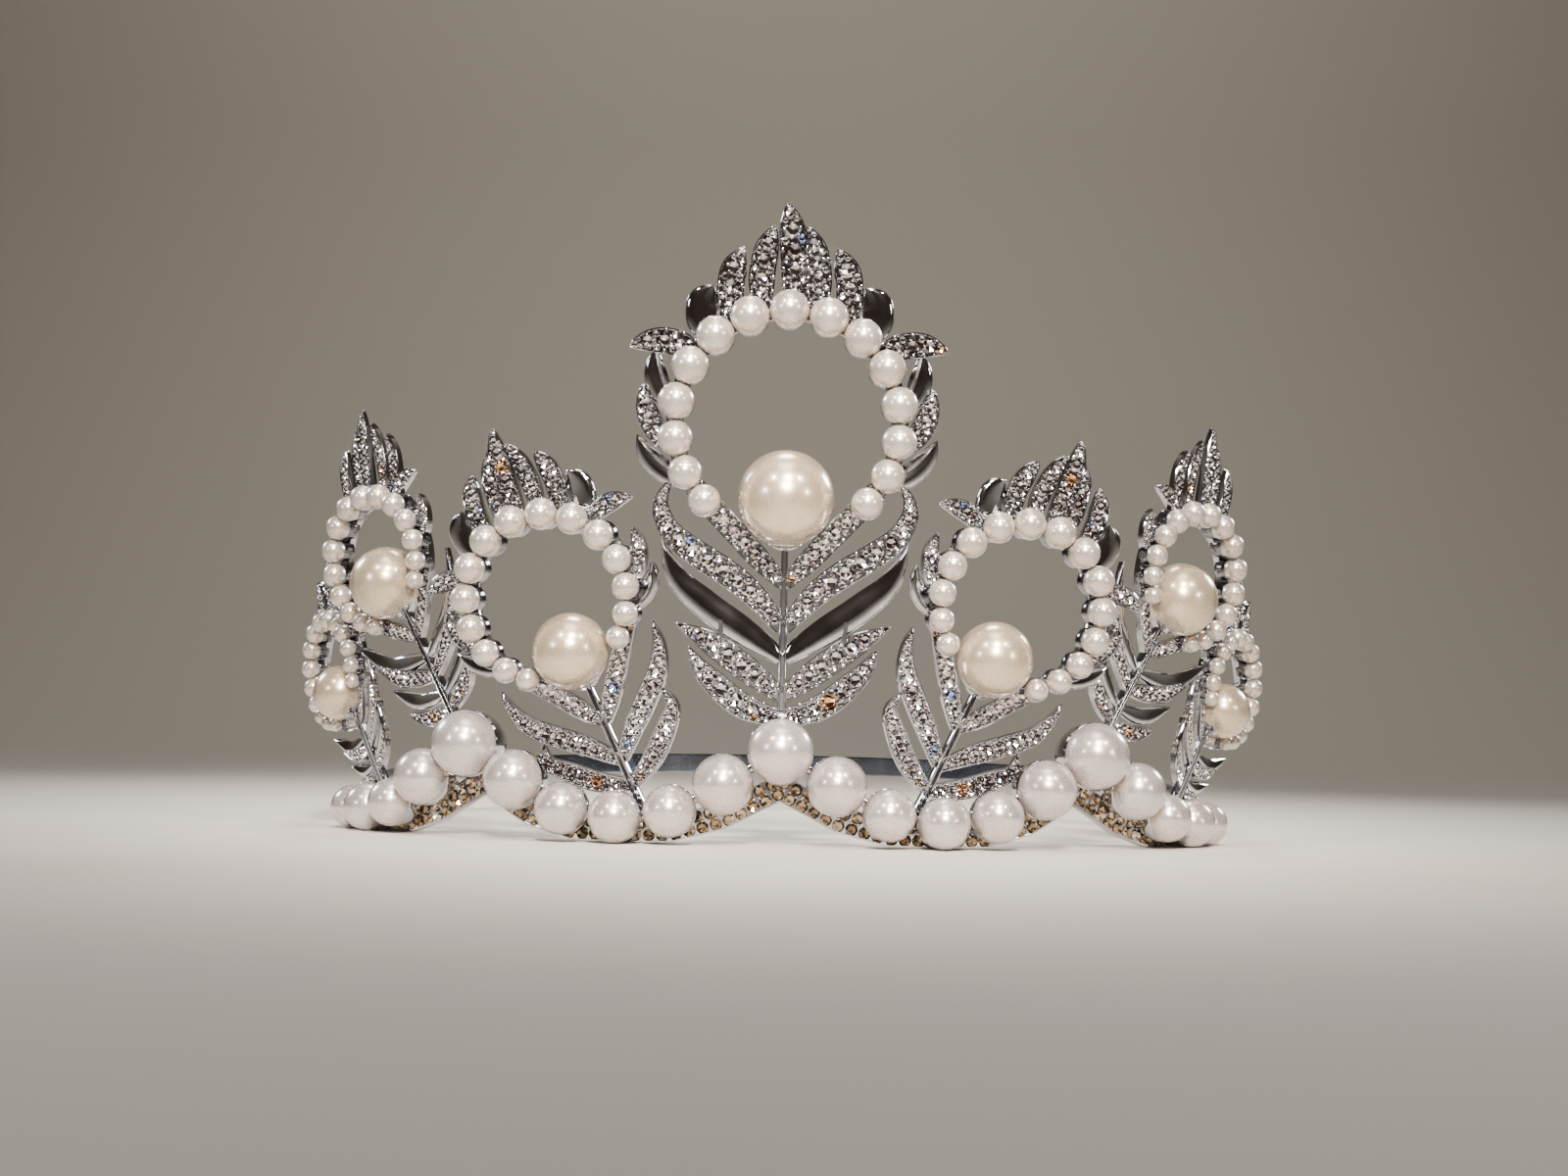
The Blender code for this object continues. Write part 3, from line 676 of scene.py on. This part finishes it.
# Lacquered imitation pearls: a cream body with a silky sheen, and a sharp highlight on the gloss above it
RING_PEARL = pearl("cream_pearl_lacquer", "#DACFC5", "#C4B7AC", 72.0)
BASE_PEARL = pearl("white_pearl_lacquer", "#D8CDCB", "#C2B6B4", 68.0)
MAIN_PEARL = pearl("warm_pearl_lacquer", "#DCC8AF", "#C7B297", 78.0)
# Cut glass with foil behind: each facet mirrors another part of the room, and a few stones are tinted orange
# or blue all over, painted glints standing in for the coloured fire of cut glass
CLEAR = stone("clear_foiled_glass", [
    (0.0, "#FAF8FA"), (0.40, "#E4DDE1"), (0.70, "#C2B7BC"), (0.84, "#FFFEFF"), (0.976, "#FFC48A"),
    (0.988, "#A8C2FF")])
# The same glass tinted: warm brown depths and pale glints along the strip
CHAMPAGNE = stone("champagne_foiled_glass", [
    (0.0, "#C9B392"), (0.35, "#A38A67"), (0.70, "#7F694C"), (0.90, "#E6D9C0")])

STONE = stone_shape()
BEAD = ball_shape("bead_shape", 7, 4)
FINE_PEARL = ball_shape("small_pearl_shape", 20, 12)
LARGE_PEARL = ball_shape("large_pearl_shape", 40, 24)
CUP = turned_shape("cup_shape", RING_CUP, 14)
SOCKET = turned_shape("socket_shape", BASE_CUP, 24)
TIP_CUP = turned_shape("tip_cup_shape", STEM_CUP, 16)


def settle(piece, slot, *nodes):
    """A finished piece rides on the crown and stands for its nodes."""
    if nodes:
        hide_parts(*nodes)
    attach(piece, BODY)


def add_leaf(bm, stones, beads, line, width, kind, side, fade_from, sink):
    """One leaf along its line, and the seats on it if it is set with stones; a left leaf is mirrored."""
    places, headings, length = smooth_line([(side * across, up) for across, up in line], LEAF_STATIONS)
    plain = kind == PLAIN
    back = (PLAIN_LAYER if plain else PAVE_LAYER) + sink
    front = back - LEAF_THICKNESS
    section = plain_section if plain else pave_section
    shares = np.linspace(0.0, 1.0, LEAF_STATIONS)
    halves = [width / 2 * leaf_width(kind, share, fade_from) for share in shares]
    outlines = []
    for place, heading, half in zip(places, headings, halves):
        thin = 1.0 if plain else min(1.0, half / THIN_TIP)
        outline = section(half, back, back + (front - back) * thin)
        outlines.append([(side * (place[0] + heading[1] * across), depth, place[1] - heading[0] * across)
                         for across, depth in outline])
    loft(bm, outlines)
    if not plain:
        set_leaf(stones, beads, places, headings, halves, length, front, side)


def set_leaf(stones, beads, places, headings, halves, length, front, side):
    """Seats down the middle of a leaf, and pairs of small ones beside every gap."""
    along = np.linspace(0.0, length, len(places))

    def seat(reach, offset):
        x, z = (float(np.interp(reach, along, places[:, axis])) for axis in (0, 1))
        hx, hz = (float(np.interp(reach, along, headings[:, axis])) for axis in (0, 1))
        return Vector((side * (x + hz * offset), 0.0, z - hx * offset)), Vector((side * hx, 0.0, hz))

    def room(reach):
        return 2 * (float(np.interp(reach, along, halves)) - RIM_CLEAR * RIM_WIDTH)

    reach = FIRST_STONE * length
    while reach < length:
        large = LARGE_SHARE * room(reach)
        if large < LEAST_STONE:
            break
        place, heading = seat(reach + large / 2, 0.0)
        place.y = front + LARGE_SINK * large - STONE_PROUD
        stones.add(place, (0, -1, 0), heading, large / 2)
        gap = reach + large * STONE_STEP
        wide = room(gap)
        small = SMALL_SHARE * wide
        for edge in (1, -1):
            place, heading = seat(gap, edge * (wide - small) / 2)
            place.y = front + SMALL_SINK * small
            if small > LEAST_STONE:
                stones.add(place, (0, -1, 0), heading, small / 2)
            else:
                beads.add(place, (0, -1, 0), heading, max(small, LEAST_BEAD) / 2)
            place, heading = seat(gap - large / 2, edge * (wide / 2 - BEAD_INSET))
            place.y = front + BEAD_SINK
            beads.add(place, (0, -1, 0), heading, BEAD_SHARE * small / 2)
        reach = gap


def add_stem(bm, plume):
    """The stem with a groove down its front, soldered to the rail below."""
    top = plume["stem"] * MM - plume["drop"] * MM - plume["pearl"] * MM / 2 - CLEARANCE
    taper = [(-STEM_SOLDER, 1.5), (0.6 * MM, 1.1), (3 * MM, 1.0), (top - CUP_WIDTH, 0.85), (top, 0.8)]
    sections = []
    for height, widen in taper:
        half = STEM_WIDTH / 2 * widen
        front = -STEM_DEPTH / 2
        groove = half * GROOVE_SHARE
        lip = half - groove
        right = [(groove, front + GROOVE_DEPTH), (groove, front + 0.4 * lip), (groove + 0.25 * lip, front),
                 (groove + 0.6 * lip, front), (half, front + 0.6 * lip), (half, STEM_DEPTH / 2)]
        outline = [(-across, depth) for across, depth in right[::-1]] + right
        sections.append([(across, depth, height) for across, depth in outline])
    loft(bm, sections)


def add_ring(bm, plume):
    """The flat band behind the small pearls, open at the bottom, with softened edges."""
    stem = plume["stem"] * MM
    ring = plume["ring"] * MM
    half_open = math.radians(plume["opening"] - RING_END_MARGIN)
    half = RING_WIDTH / 2
    soft = RING_SOFT
    outline = [(-half, RING_BACK - soft), (-half, -RING_FRONT + soft), (-half + soft, -RING_FRONT),
               (half - soft, -RING_FRONT), (half, -RING_FRONT + soft), (half, RING_BACK - soft),
               (half - soft, RING_BACK), (-half + soft, RING_BACK)]
    sections = []
    for angle in np.linspace(-math.pi + half_open, math.pi - half_open, RING_SEGMENTS + 1):
        section = []
        for across, depth in outline:
            x, z = polar(ring + across, angle, stem)
            section.append((x, depth, z))
        sections.append(section)
    loft(bm, sections)


def ring_pearl_places(plume):
    """Angle and radius of each small pearl round the ring, smallest at its open ends."""
    small, large = (size * MM for size in plume["pearls"])
    turns = [math.pi * i / (PEARLS_PER_RING - 1) for i in range(PEARLS_PER_RING)]
    sizes = [small + (large - small) * math.sin(turn) for turn in turns]
    gaps = [(a + b) / 2 for a, b in zip(sizes, sizes[1:])]
    half_open = math.radians(plume["opening"])
    span = 2 * math.pi - 2 * half_open
    room = span * plume["ring"] * MM / sum(gaps)
    angles = [-math.pi + half_open + span * sum(gaps[:i]) / sum(gaps) for i in range(PEARLS_PER_RING)]
    return [(angle, size / 2 * min(room, 1.0)) for angle, size in zip(angles, sizes)]


def leaf_lines(plume):
    """Every leaf of a plume: line, width, kind, side, the share of its length where it narrows, and sink."""
    stem = plume["stem"] * MM
    ring = plume["ring"] * MM
    crest = plume["crest"] * MM
    turn = math.radians(plume["crest_turn"])
    near_ring = ring + RING_WIDTH * RING_ROOT_SHARE
    end = polar(ring, math.pi - math.radians(plume["opening"] + RING_LAP), stem)
    for leaf in LEAVES[plume["leaves"]]:
        line = [end if point == RING_END else (point[0] * stem, point[1] * stem) for point in leaf["line"]]
        width = leaf["width"] * stem
        for side in (1, -1):
            yield [(side * across, up) for across, up in line], width, leaf["kind"], side, LEAF_FADE, 0.0
    for curl in CURLS[:plume["curls"]]:
        root = polar(near_ring, math.radians(90 - curl["root"]), stem)
        tip = polar(ring * curl["reach"], math.radians(90 - curl["tip"]), stem)
        line = bowed(root, tip, curl["bow"])
        width = curl["width"] * ring
        for side in (1, -1):
            yield [(side * across, up) for across, up in line], width, curl["kind"], side, LEAF_FADE, 0.0
    middle = dict(CREST_CENTRE, tip=CREST_CENTRE["tip"] + plume["tip_lean"])
    feathers = [(1, 0, middle)]
    for pair in CREST_PAIRS[:plume["crest_pairs"]]:
        feathers += [(1, 0, pair), (-1, plume["close"], pair)]
    for side, closer, feather in feathers:
        root = polar(near_ring, turn + side * math.radians(feather["root"] - closer), stem)
        tip = polar(crest * feather["height"], turn + side * math.radians(feather["tip"] - closer), stem)
        lean = side if tip[0] >= root[0] else -side
        line = bowed(root, tip, lean * feather["bow"])
        yield line, feather["width"] * ring, feather["kind"], side, FEATHER_FADE, feather["sink"]


def moved(seats, place):
    """The same seats in the crown's frame."""
    result = Seats()
    turn = place.to_3x3()
    for where, euler, size in zip(seats.places, seats.turns, seats.sizes):
        local = (Matrix.Rotation(euler.z, 3, "Z") @ Matrix.Rotation(euler.y, 3, "Y")
                 @ Matrix.Rotation(euler.x, 3, "X"))
        result.add(place @ where, turn @ local.col[2], turn @ local.col[1], size)
    return result


def make_plume(plume, side):
    """One plume: its casting, stones and beads, and the pearls with their cups."""
    name = plume["name"]
    if name != "centre":
        name += "_right" if side > 0 else "_left"
    place = plume_place(plume, side)
    stem = plume["stem"] * MM
    bm = bmesh.new()
    stones = Seats()
    beads = Seats()
    for leaf in leaf_lines(plume):
        add_leaf(bm, stones, beads, *leaf)
    for post in POSTS.get(plume["leaves"], []):
        for way in (1, -1):
            start, end = ((way * across * stem, up * stem) for across, up in post)
            rod(bm, start, end, POST_RADIUS)
    add_stem(bm, plume)
    add_ring(bm, plume)
    casting = finish_piece(bm, f"casting_{name}", SILVER, place)
    settle(casting, "plated_metal", f"plume_{name}")
    settle(set_on(moved(stones, place), f"stones_{name}", STONE, CLEAR, LEAF_WOBBLE), "rhinestone")
    settle(set_on(moved(beads, place), f"beads_{name}", BEAD, SILVER), "plated_metal")
    pearls = Seats()
    for angle, radius in ring_pearl_places(plume):
        x, z = polar(plume["ring"] * MM, angle, stem)
        ahead = RING_FRONT + CLEARANCE + radius
        pearls.add((x, -ahead, z), (0, -1, 0), (0, 0, 1), radius)
    pearls = moved(pearls, place)
    settle(set_on(pearls, f"cups_{name}", CUP, PAINTED_SHADE_PLATE), "plated_metal")
    settle(set_on(pearls, f"ring_pearls_{name}", FINE_PEARL, RING_PEARL), "pearl", f"pearl_ring_{name}")
    main = Seats()
    middle = (0, -MAIN_PEARL_FORWARD, stem - plume["drop"] * MM)
    main.add(middle, (0, MAIN_PEARL_LEAN, 1), (0, -1, 0), plume["pearl"] * MM / 2)
    main = moved(main, place)
    settle(set_on(main, f"tip_cup_{name}", TIP_CUP, SILVER), "plated_metal")
    settle(set_on(main, f"main_pearl_finish_{name}", LARGE_PEARL, MAIN_PEARL), "pearl",
           f"main_pearl_{name}")


def garland_indices():
    """Even steps from one end of the garland to the other, in pearls from the front."""
    return np.linspace(-LAST_PEARL, LAST_PEARL, 2 * LAST_PEARL * STRIP_STATIONS + 1)


def make_garland():
    """The stone strip with its raised edges, and the round rail above it."""
    bm = bmesh.new()
    strip = []
    rail = []
    for index in garland_indices():
        arc = arc_at(index)
        inward = rail_inward(index)
        centre, heading = plan.point(arc, inward)
        out = Vector((math.sin(heading), -math.cos(heading), 0.0))
        low = along_wave(STRIP_UNDERSIDES, index)
        high = low + STRIP_HEIGHT
        half = RAIL_THICKNESS / 2
        face = half - STRIP_LIP
        outline = [(-half, low), (half, low), (half, low + STRIP_LIP), (face, low + STRIP_LIP),
                   (face, high - STRIP_LIP), (half, high - STRIP_LIP), (half, high), (-half, high)]
        strip.append([centre + SHIFT + out * depth + Vector((0, 0, up)) for depth, up in outline])
        ring = []
        for angle in np.linspace(0, 2 * math.pi, RAIL_FACETS + 1)[:-1]:
            up = pearl_height(index) + RAIL_HEIGHT / 2 * math.sin(angle)
            ring.append(centre + SHIFT + out * (half * math.cos(angle)) + Vector((0, 0, up)))
        rail.append(ring)
    loft(bm, strip)
    loft(bm, rail)
    settle(finish_piece(bm, "garland_rail_and_strip", SILVER), "plated_metal", "garland_frame")


def make_garland_stones():
    """Two staggered rows of champagne stones on the strip's outer face, and beads between them."""
    stones = Seats()
    beads = Seats()
    indices = garland_indices()
    for row, share in enumerate(STRIP_ROWS):
        places = []
        for index in indices:
            centre, heading = plan.point(arc_at(index), rail_inward(index))
            out = Vector((math.sin(heading), -math.cos(heading), 0.0))
            up = along_wave(STRIP_UNDERSIDES, index) + share * STRIP_HEIGHT
            seat = centre + SHIFT + out * (RAIL_THICKNESS / 2 - STRIP_LIP / 2)
            places.append((*seat.xy, up, out.x, out.y))
        places = np.array(places)
        runs = np.linalg.norm(np.diff(places[:, :3], axis=0), axis=1)
        lengths = np.concatenate(([0.0], np.cumsum(runs)))
        step = STRIP_STONE * STRIP_STEP
        first = step * (STRIP_ROW_START + STRIP_STAGGER * row)
        for reach in np.arange(first, lengths[-1] - step * 0.5, step):
            here = [float(np.interp(reach, lengths, places[:, axis])) for axis in range(5)]
            next_to = [float(np.interp(reach + step / 2, lengths, places[:, axis])) for axis in range(5)]
            outward = (here[3], here[4], STRIP_DROOP)
            stones.add(here[:3], outward, (0, 0, 1), STRIP_STONE / 2)
            middle = next_to[2] + (0.5 - share) * STRIP_HEIGHT * STRIP_BEAD_PULL
            beads.add((*next_to[:2], middle), outward, (0, 0, 1), STRIP_BEAD)
    settle(set_on(stones, "garland_stones", STONE, CHAMPAGNE, STRIP_WOBBLE), "rhinestone")
    settle(set_on(beads, "garland_beads", BEAD, SILVER), "plated_metal")


def make_base_pearls():
    """The scalloped row of base pearls, each in its socket."""
    pearls = Seats()
    nodes = []
    for index in range(-LAST_PEARL, LAST_PEARL + 1):
        place, heading = plan.point(arc_at(index))
        place.z = pearl_height(index)
        out = (math.sin(heading), -math.cos(heading), 0.0)
        pearls.add(place + SHIFT, out, (0, 0, 1), pearl_diameter(index) / 2)
        word = "right" if index > 0 else "left"
        nodes.append(f"base_pearl_{word}_{abs(index):02d}" if index else "base_pearl_front")
    settle(set_on(pearls, "base_pearls", LARGE_PEARL, BASE_PEARL), "pearl", *nodes)
    settle(set_on(pearls, "base_pearl_cups", SOCKET, SILVER), "plated_metal")


def make_head_band():
    """The plain strip round the back, with softened edges, soldered to the garland's ends."""
    inward = rail_inward(LAST_PEARL)
    start = arcs[-1] - BAND_LAP
    rear = plan.half_length - start
    half = BAND_THICKNESS / 2
    soft = BAND_ROUNDING
    right = []
    for share in np.linspace(0.0, 1.0, BAND_STATIONS + 1):
        centre, heading = plan.point(start + rear * share, inward)
        out = Vector((math.sin(heading), -math.cos(heading), 0.0))
        rise = (BAND_BACK_HEIGHT - BAND_START_HEIGHT) * math.sin(share * math.pi / 2)
        low = BAND_START_HEIGHT + rise - BAND_HEIGHT / 2
        high = low + BAND_HEIGHT
        outline = [(-half, low + soft), (-half, high - soft), (-half + soft, high), (half - soft, high),
                   (half, high - soft), (half, low + soft), (half - soft, low), (-half + soft, low)]
        right.append([centre + SHIFT + out * depth + Vector((0, 0, up)) for depth, up in outline])
    left = [[Vector((-point.x, point.y, point.z)) for point in section] for section in right[:-1]]
    bm = bmesh.new()
    loft(bm, right + left[::-1])
    settle(finish_piece(bm, "head_band_finish", DARKENED_STEEL), "polished_band", "head_band")


# The studio: a floor that sweeps up behind, and lamps as places, sizes, watts and spread angles
FLOOR_HALF_WIDTH = 3.0
FLOOR_FRONT = -3.0
SWEEP_START = 0.75
SWEEP_RADIUS = 0.45
SWEEP_TOP = 2.2
LAMP_AIM = Vector((0.0, -0.03, 0.06))
BACKDROP_AIM = Vector((0.0, 1.15, 0.35))
LAMPS = [
    dict(name="key", place=(0.02, -0.80, 0.42), size=0.15, power=0.36, spread=22, colour="#FFF7EC"),
    dict(name="overhead", place=(0.06, -0.66, 0.68), size=0.17, power=0.28, spread=26, colour="#FFF1DE"),
    dict(name="spark_left", place=(-0.34, -0.52, 0.60), size=0.07, power=0.045, spread=26,
         colour="#FFF7EC"),
    dict(name="spark_right", place=(0.36, -0.50, 0.58), size=0.07, power=0.045, spread=26,
         colour="#FFF7EC"),
    dict(name="left_fill", place=(-0.62, -0.56, 0.26), size=0.12, power=0.018, spread=20, colour="#EAF0FF"),
    dict(name="right_fill", place=(0.62, -0.56, 0.22), size=0.12, power=0.018, spread=20, colour="#FFF4E4"),
    dict(name="ceiling", place=(0.0, -0.36, 1.40), size=0.70, power=2.4, spread=120, colour="#FFFFFF"),
    dict(name="top", place=(0.0, 0.34, 0.95), size=0.30, power=0.35, spread=50, colour="#FFF4E4"),
    dict(name="back_right", place=(0.60, 0.45, 0.40), size=0.20, power=0.30, spread=50, colour="#FFFFFF"),
    dict(name="back_left", place=(-0.66, 0.30, 0.45), size=0.20, power=0.25, spread=50, colour="#EAF0FF"),
    dict(name="wash", place=(0.0, 0.45, 1.30), size=0.50, power=2.2, spread=120, colour="#F4EEDF",
         aim=BACKDROP_AIM),
]


def make_backdrop():
    """A plain pale floor that sweeps up behind the crown."""
    turns = np.linspace(0, math.pi / 2, 25)
    profile = [(FLOOR_FRONT, 0.0)]
    profile += [(SWEEP_START + SWEEP_RADIUS * math.sin(a), SWEEP_RADIUS * (1 - math.cos(a))) for a in turns]
    profile.append((SWEEP_START + SWEEP_RADIUS, SWEEP_TOP))
    bm = bmesh.new()
    rows = [[bm.verts.new((x, y, z)) for y, z in profile] for x in (-FLOOR_HALF_WIDTH, FLOOR_HALF_WIDTH)]
    for i in range(len(profile) - 1):
        bm.faces.new((rows[0][i], rows[1][i], rows[1][i + 1], rows[0][i + 1]))
    mesh = bpy.data.meshes.new("studio_sweep")
    bm.to_mesh(mesh)
    bm.free()
    mesh.shade_smooth()
    sweep = bpy.data.objects.new("studio_sweep", mesh)
    bpy.context.scene.collection.objects.link(sweep)
    # Matt paint: an even pale ground with no shine of its own
    paint, _, shader = new_material("matt_studio_paint")
    shader.inputs["Base Color"].default_value = linear("#D6D1C9")
    shader.inputs["Roughness"].default_value = 0.85
    mesh.materials.append(paint)


def make_studio():
    """A room that is dark behind the camera and pale ahead of it, soft lamps, and a few small hard ones."""
    world = bpy.data.worlds.new("studio_room")
    bpy.context.scene.world = world
    world.use_nodes = True
    tree = world.node_tree
    place = add(tree, "ShaderNodeTexCoord").outputs["Generated"]
    axes = add(tree, "ShaderNodeSeparateXYZ", {"Vector": place})
    depth = add(tree, "ShaderNodeMapRange", {"Value": axes.outputs["Y"], "From Min": -1.0, "From Max": 1.0})
    walls = [(0.36, "#3A3029"), (0.52, "#4A443D"), (0.75, "#A39B8F")]
    room = ramp(tree, depth.outputs["Result"], walls)
    tree.links.new(room, tree.nodes["Background"].inputs["Color"])
    for lamp in LAMPS:
        light = bpy.data.lights.new(lamp["name"], "AREA")
        light.shape = "DISK"
        light.size = lamp["size"]
        light.energy = lamp["power"]
        light.spread = math.radians(lamp["spread"])
        light.color = linear(lamp["colour"])[:3]
        holder = bpy.data.objects.new(lamp["name"], light)
        place = Vector(lamp["place"])
        holder.location = place
        holder.rotation_mode = "QUATERNION"
        holder.rotation_quaternion = (place - lamp.get("aim", LAMP_AIM)).to_track_quat("Z", "Y")
        bpy.context.scene.collection.objects.link(holder)


# The camera that the photograph's own proportions give
CAMERA_PLACE = (0.0, -509.9 * MM, 23.9 * MM)
CAMERA_LENS = 54.09
CAMERA_PITCH = math.radians(93.13)
CAMERA_ROLL = math.radians(1.2)


def make_camera():
    """A camera in front of the crown, low, and rolled a little as in the photograph."""
    camera = bpy.data.cameras.new("photo_camera")
    camera.lens = CAMERA_LENS
    camera.sensor_width = 36.0
    camera.clip_start = 0.01
    holder = bpy.data.objects.new("photo_camera", camera)
    holder.matrix_world = (Matrix.Translation(CAMERA_PLACE) @ Matrix.Rotation(CAMERA_PITCH, 4, "X")
                           @ Matrix.Rotation(CAMERA_ROLL, 4, "Z"))
    bpy.context.scene.collection.objects.link(holder)
    bpy.context.scene.camera = holder


make_garland()
make_garland_stones()
make_base_pearls()
make_head_band()
for plume in PLUMES:
    for side in (1, -1) if plume["name"] != "centre" else (1,):
        make_plume(plume, side)
for shape in (STONE, BEAD, FINE_PEARL, LARGE_PEARL, CUP, SOCKET, TIP_CUP):
    bpy.data.objects.remove(shape, do_unlink=True)
make_backdrop()
make_studio()
make_camera()
